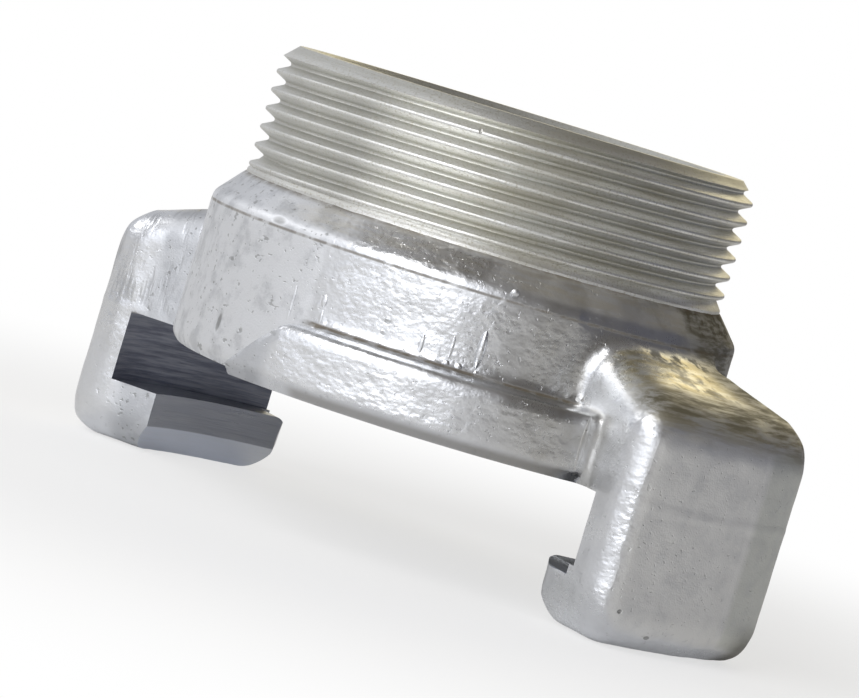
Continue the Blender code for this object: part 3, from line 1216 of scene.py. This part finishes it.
    def build(self) -> bpy.types.Object:
        """Run the pieces together and give them the skin's soft corners and slight ripples.

        Returns:
            The casting, before it is turned.
        """
        blank = self.collar()
        combine(blank, self.ledges(), Join.ADD)
        combine(blank, self.claws(), Join.ADD)
        remesh = blank.modifiers.new("flow", "REMESH")
        remesh.mode = "VOXEL"
        remesh.voxel_size = self.grain
        bake_modifiers(blank)
        shape = bmesh.new()
        shape.from_mesh(blank.data)
        self.soften(shape, shape.verts[:], self.softening)
        self.soften(shape, [vert for vert in shape.verts if self.at_root(vert.co)], self.root_softening)
        self.roughen(shape)
        shape.to_mesh(blank.data)
        shape.free()
        on_collar = [(drop, self.sizes.collar_radius) for drop in self.drops]
        for mark, radius in (*on_collar, (self.bead, self.sizes.ledge_radius)):
            combine(blank, mark.lump(radius - self.shrinkage, "drop", self.skin), Join.ADD)
        return blank

    def soften(self, shape: bmesh.types.BMesh, verts: Sequence[bmesh.types.BMVert], times: int) -> None:
        """Move points towards their neighbours, again and again.

        Args:
            shape: The skin's mesh.
            verts: The points that move.
            times: How often they move.
        """
        for _ in range(times):
            bmesh.ops.smooth_vert(shape, verts=verts, factor=0.5, use_axis_x=True, use_axis_y=True,
                                  use_axis_z=True)

    def at_root(self, place: Vector) -> bool:
        """Tell whether a place is by the corner between a claw and the collar, above the ledge.

        Args:
            place: The place.

        Returns:
            Whether it is.
        """
        s = self.sizes
        turn = math.atan2(place.y, abs(place.x))
        beside = (abs(turn) - s.claw_half_angle) * s.collar_radius
        outside = math.hypot(place.x, place.y) - s.collar_radius
        above_ledge = place.z > s.face + s.ledge_height + self.root_foot
        return above_ledge and beside < self.root_reach and abs(outside) < self.root_reach

    def roughen(self, shape: bmesh.types.BMesh) -> None:
        """Move the skin in and out a little, as metal that froze unevenly, with the mould's ridge.

        Args:
            shape: The skin's mesh.
        """
        s = self.sizes
        shape.normal_update()
        for vert in shape.verts:
            ripple = noise.fractal(vert.co / self.ripple_size, *self.ripple_layers) * self.ripple_depth
            outside = math.hypot(vert.co.x, vert.co.y) > s.ledge_radius + s.allowance
            drift = (vert.co.z - self.parting_height) / self.grain
            ridge = self.parting_ridge * math.exp(-drift * drift) if outside else 0.0
            vert.co += vert.normal * (ripple + ridge - self.shrinkage)


@dataclass
class Lathe:
    """What is turned on the head: the thread, the bore, the coupling side and the slots."""

    sizes: HeadSizes
    finish: bpy.types.Material
    steps_per_turn: int = 144
    cut_steps: int = 256
    turns_beyond: float = 1.5
    run_out_land: float = 0.3 * MM
    run_out_depth: float = 0.05 * MM
    corner_rounding: float = 1.8 * MM
    nick: Mark = Mark(-56.5, 51.9, 0.7, 1.7, 0.5)

    def thread(self) -> bpy.types.Object:
        """Build the threaded spigot with its rounded thread form and its chamfered mouth.

        Returns:
            A solid without a bore.
        """
        s = self.sizes
        rounding = THREAD_ROUNDING_SHARE * s.thread_pitch
        valley = s.thread_radius - s.thread_depth + rounding
        ridge = s.thread_radius - rounding
        lean = 90.0 - THREAD_FLANK_DEGREES
        turns = math.ceil((s.spigot_height + s.shoulder_height) / s.thread_pitch) + 2
        start = s.collar_top - self.turns_beyond * s.thread_pitch
        profile = [
            *arc((valley, start), rounding, 180, 180 - lean, 2),
            *arc((ridge, start + s.thread_pitch / 2), rounding, -lean, lean, 6),
            *arc((valley, start + s.thread_pitch), rounding, 180 + lean, 180, 2),
        ]
        rod = Solid()
        steps = self.steps_per_turn
        bmesh.ops.spin(rod.shape, geom=rod.outline(profile, closed=False), **AXIS,
                       dvec=(0, 0, s.thread_pitch / steps), angle=math.tau * turns, steps=steps * turns)
        bmesh.ops.remove_doubles(rod.shape, verts=rod.shape.verts, dist=0.001 * MM)
        rod.slice(Vector((0, 0, s.top)), Vector((0, 0, 1)))
        rod.slice(Vector((0, 0, s.collar_top)), Vector((0, 0, -1)))
        spigot = rod.finish("thread", self.finish)
        beyond = s.thread_radius + s.allowance
        envelope = Solid().turn([
            (s.raw_bore_radius, s.collar_top - s.allowance),
            (beyond, s.collar_top - s.allowance),
            (beyond, s.top - s.thread_chamfer - s.allowance),
            (s.thread_radius - s.thread_chamfer, s.top),
            (s.raw_bore_radius, s.top),
        ]).finish("thread_mouth", self.finish)
        combine(spigot, envelope, Join.KEEP_COMMON)
        return spigot

    def run_out(self) -> bpy.types.Object:
        """Build the cone at the thread's foot, where its groove gets shallower.

        Returns:
            The cone.
        """
        s = self.sizes
        root = s.thread_radius - s.thread_depth
        return Solid().turn([
            (s.raw_bore_radius, s.collar_top),
            (s.thread_radius, s.collar_top),
            (s.thread_radius, s.spigot_foot + self.run_out_land),
            (root - self.run_out_depth, s.spigot_foot + s.thread_pitch),
            (s.raw_bore_radius, s.spigot_foot + s.thread_pitch),
        ]).finish("run_out", self.finish)

    def corner_file(self) -> bpy.types.Object:
        """Build what rounds the corner of each hook between its turned top and its leading flank.

        Returns:
            What is taken off both hooks.
        """
        s = self.sizes
        turn = -s.claw_half_angle
        outward = Vector((math.cos(turn), math.sin(turn), 0.0))
        ahead = Vector((math.sin(turn), -math.cos(turn), 0.0))
        rounding = self.corner_rounding
        section = [
            (rounding, s.hook_thickness + rounding),
            (-rounding, s.hook_thickness + rounding),
            *reversed(arc((-rounding, s.hook_thickness - rounding), rounding, 0, 90)),
            (rounding, s.hook_thickness - rounding),
        ]
        file = Solid()
        start = outward * (s.hook_radius - s.allowance)
        verts = [file.shape.verts.new(start + ahead * step + Vector((0, 0, height)))
                 for step, height in section]
        face = file.shape.faces.new(verts)
        grown = bmesh.ops.extrude_face_region(file.shape, geom=[face])
        bmesh.ops.translate(file.shape, vec=outward * (s.slot_radius - s.hook_radius),
                            verts=only(bmesh.types.BMVert, grown["geom"]))
        return file.repeat_half_turn().finish("corner_file", self.finish)

    def cut(self) -> bpy.types.Object:
        """Build what the lathe takes off: bore, seal pocket, coupling face, slots and hook faces.

        Returns:
            What is taken off.
        """
        s = self.sizes
        inside = s.bore_radius / 2
        lead = s.hook_lead_depth / s.hook_lead_height
        return Solid().turn([
            (inside, -s.allowance),
            (s.hook_radius + s.hook_lead_depth + s.allowance * lead, -s.allowance),
            (s.hook_radius, s.hook_lead_height),
            (s.hook_radius, s.hook_thickness),
            (s.slot_radius, s.hook_thickness),
            (s.slot_radius, s.face),
            (s.lip_radius, s.face),
            (s.lip_radius, s.face + s.lip_height),
            (s.pocket_radius, s.face + s.lip_height),
            (s.pocket_radius, s.face + s.pocket_depth),
            (s.bore_radius, s.face + s.pocket_depth),
            (s.bore_radius, s.top - s.bore_chamfer),
            (s.bore_radius + s.bore_chamfer + s.allowance, s.top + s.allowance),
            (inside, s.top + s.allowance),
        ], self.cut_steps).finish("turning_cut", self.finish)

    def chip(self) -> bpy.types.Object:
        """Build what is missing where the first thread is nicked."""
        return self.nick.lump(self.sizes.thread_radius, "nick", self.finish)


@dataclass
class CouplingBody:
    """The casting after the lathe, in one piece."""

    sizes: HeadSizes
    crease: float = 27.0

    def build(self) -> bpy.types.Object:
        """Cast it, add the threaded spigot and turn it.

        Returns:
            The finished piece.
        """
        body = Casting(self.sizes, CastSkin(self.sizes).build()).build()
        lathe = Lathe(self.sizes, TurnedMetal(self.sizes).build())
        for added in (lathe.run_out, lathe.thread):
            combine(body, added(), Join.ADD)
        for taken_off in (lathe.cut, lathe.corner_file, lathe.chip):
            combine(body, taken_off(), Join.CUT)
        body.name = "finished_casting"
        shade(body, self.crease)
        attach(body, "root")
        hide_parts("coupling_body")
        return body


@dataclass
class Seal:
    """The rubber ring in the coupling face."""

    sizes: HeadSizes
    rubber: SealRubber = SealRubber()
    channel_depth: float = 1.5 * MM
    channel_height: float = 2.2 * MM
    edge_rounding: float = 0.5 * MM
    crease: float = 34.0

    def build(self) -> bpy.types.Object:
        """Turn its section and round its edges.

        Returns:
            The finished piece.
        """
        s = self.sizes
        flange = s.pocket_radius - s.seal_clearance
        inner = s.bore_radius + s.seal_inset
        roof = s.face + s.pocket_depth - s.seal_clearance
        flange_foot = s.face + s.lip_height + s.seal_clearance
        foot = s.face - s.seal_proud
        middle = (roof + foot) / 2
        edge = self.edge_rounding
        ring = Solid().turn([
            *arc((inner + edge, foot + edge), edge, 180, 270, 4),
            *arc((s.seal_neck - edge, foot + edge), edge, 270, 360, 4),
            (s.seal_neck, flange_foot),
            (flange, flange_foot),
            (flange, roof),
            (inner, roof),
            (inner, middle + self.channel_height / 2),
            *arc((inner + self.channel_depth - edge, middle), edge, 60, -60, 4),
            (inner, middle - self.channel_height / 2),
        ]).finish("rubber_ring", self.rubber.build())
        shade(ring, self.crease)
        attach(ring, "root")
        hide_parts("seal_ring")
        return ring


@dataclass(frozen=True)
class Glow:
    """A soft round patch of the room, placed from the camera: degrees to its right, and elevation."""

    degrees: float
    elevation: float
    inner: float
    outer: float
    shade: Colour


@dataclass(frozen=True)
class Lamp:
    """A soft square lamp, placed from the camera: degrees to its right, elevation, and distance."""

    name: str
    degrees: float
    elevation: float
    distance: float
    size: float
    power: float


@dataclass
class Studio:
    """White surroundings, soft lamps and the camera of the photograph."""

    sizes: HeadSizes
    room_shade: Colour = (0.16, 0.15, 0.14, 1.0)
    glows: tuple[Glow, ...] = (
        Glow(-130.0, 15.0, 10.0, 80.0, (0.64, 0.65, 0.68, 1.0)),
        Glow(100.0, 0.0, 15.0, 70.0, (0.13, 0.135, 0.17, 1.0)),
        Glow(168.0, 30.0, 8.0, 26.0, (1.75, 1.55, 1.02, 1.0)),
        Glow(-30.0, 14.0, 22.0, 42.0, (1.35, 1.38, 1.46, 1.0)),
        Glow(-14.0, 12.0, 5.0, 22.0, (2.50, 2.55, 2.65, 1.0)),
    )
    lamps: tuple[Lamp, ...] = (
        Lamp("window", -32.0, 40.0, 0.60, 0.34, 1.1),
        Lamp("side", -100.0, 30.0, 0.80, 0.40, 0.8),
    )
    floor_colour: Colour = (0.80, 0.80, 0.80, 1.0)
    floor_radius: float = 3.0
    floor_fade: tuple[float, float] = (50 * MM, 170 * MM)
    floor_whiteness: float = 0.66
    floor_in_metal: float = 0.22
    camera_azimuth: float = math.radians(-48.65)
    camera_distance: float = 543.5 * MM
    camera_shift_right: float = -2.4 * MM
    camera_above_rim: float = 7.4 * MM
    camera_pitch: float = math.radians(3.99)
    camera_roll: float = math.radians(16.95)
    focal_length: float = 188.6
    sensor_width: float = 36.0
    seen_depth: tuple[float, float] = (0.01, 20.0)

    def camera(self) -> None:
        """Set up the camera: nearly level, from the thread's side, and turned about its own axis."""
        towards = Vector((math.cos(self.camera_azimuth), math.sin(self.camera_azimuth), 0.0))
        right = Vector((-towards.y, towards.x, 0.0))
        place = towards * self.camera_distance + right * self.camera_shift_right
        place.z = self.sizes.top + self.camera_above_rim
        ahead = -towards * math.cos(self.camera_pitch) - Vector((0, 0, math.sin(self.camera_pitch)))
        data = bpy.data.cameras.new("photo_camera")
        data.lens = self.focal_length
        data.sensor_width = self.sensor_width
        data.sensor_fit = "HORIZONTAL"
        data.clip_start, data.clip_end = self.seen_depth
        made = show("photo_camera", data)
        made.matrix_world = standing(place, ahead) @ Matrix.Rotation(self.camera_roll, 4, "Z")
        bpy.context.scene.camera = made

    def put_up(self, lamp: Lamp) -> None:
        """Put up a lamp that points at the head.

        Args:
            lamp: Its place, size and power.
        """
        data = bpy.data.lights.new(lamp.name, "AREA")
        data.size = lamp.size
        data.energy = lamp.power
        place = self.direction(lamp.degrees, lamp.elevation) * lamp.distance
        aim = Vector((0, 0, self.sizes.top / 2)) - place
        show(lamp.name, data).matrix_world = standing(place, aim)

    def surroundings(self) -> None:
        """Surround the head with a room in soft shades, seen in reflections, and white to the camera."""
        world = bpy.data.worlds.new("studio")
        bpy.context.scene.world = world
        world.use_nodes = True
        nodes = NodeMaker.of_tree(world.node_tree)
        looking = nodes.add("ShaderNodeTexCoord", output="Generated")
        shade = self.room_shade
        for glow in self.glows:
            axis = self.direction(glow.degrees, glow.elevation)
            along = nodes.add("ShaderNodeVectorMath", {"operation": "DOT_PRODUCT"},
                              {0: looking, 1: tuple(axis)}, output="Value")
            share = along.ramp(math.cos(math.radians(glow.outer)), math.cos(math.radians(glow.inner)))
            shade = nodes.blend(share, shade, glow.shade)
        room = nodes.add("ShaderNodeBackground", inputs={"Color": shade, "Strength": 1.0})
        white = nodes.add("ShaderNodeBackground", inputs={"Color": WHITE, "Strength": 1.0})
        seen = nodes.add("ShaderNodeLightPath", output="Is Camera Ray")
        mixed = nodes.add("ShaderNodeMixShader", inputs={"Fac": seen, 1: room, 2: white})
        nodes.feed(world.node_tree.nodes["World Output"].inputs["Surface"], mixed)

    def direction(self, degrees: float, elevation: float) -> Vector:
        """Give a direction by its angle to the camera's right and its angle above the horizon.

        Args:
            degrees: The angle to the right.
            elevation: The angle above the horizon.

        Returns:
            The direction, of length 1.
        """
        turn = self.camera_azimuth + math.radians(degrees)
        rise = math.radians(elevation)
        return Vector((math.cos(turn) * math.cos(rise), math.sin(turn) * math.cos(rise), math.sin(rise)))

    def floor(self) -> None:
        """Lay a pale floor that keeps the head's shadow and fades into the white round it."""
        nodes = NodeMaker("pale_floor")
        nodes.set(base_color=self.floor_colour, roughness=0.9, metallic=0.0)
        x, y, _ = nodes.parts(nodes.place())
        fade = nodes.radius(x, y).ramp(*self.floor_fade, self.floor_whiteness, 1.0)
        seen = nodes.most(nodes.add("ShaderNodeLightPath", output="Is Camera Ray"),
                          nodes.add("ShaderNodeLightPath", output="Is Glossy Ray") * self.floor_in_metal)
        glow = nodes.add("ShaderNodeEmission", inputs={"Color": WHITE, "Strength": 1.0})
        body = Wave(nodes, nodes.shader.outputs["BSDF"])
        mixed = nodes.add("ShaderNodeMixShader", inputs={"Fac": seen * fade, 1: body, 2: glow})
        nodes.feed(nodes.tree.nodes["Material Output"].inputs["Surface"], mixed)
        sheet = Solid()
        bmesh.ops.create_circle(sheet.shape, cap_ends=True, segments=96, radius=self.floor_radius)
        sheet.finish("floor", nodes.material)

    def build(self) -> None:
        """Set up everything round the head."""
        bpy.context.scene.view_settings.view_transform = "Standard"
        self.camera()
        for lamp in self.lamps:
            self.put_up(lamp)
        self.surroundings()
        self.floor()


def main() -> None:
    """Build the head round the frame, set up the studio and log the number of faces of both pieces."""
    logging.basicConfig(level=logging.INFO, format="%(name)s: %(message)s")
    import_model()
    sizes = HeadSizes()
    Studio(sizes).build()
    for maker in (CouplingBody(sizes), Seal(sizes)):
        piece = maker.build()
        LOG.info("%s: %d faces", piece.name, len(piece.data.polygons))


if __name__ == "__main__":
    main()
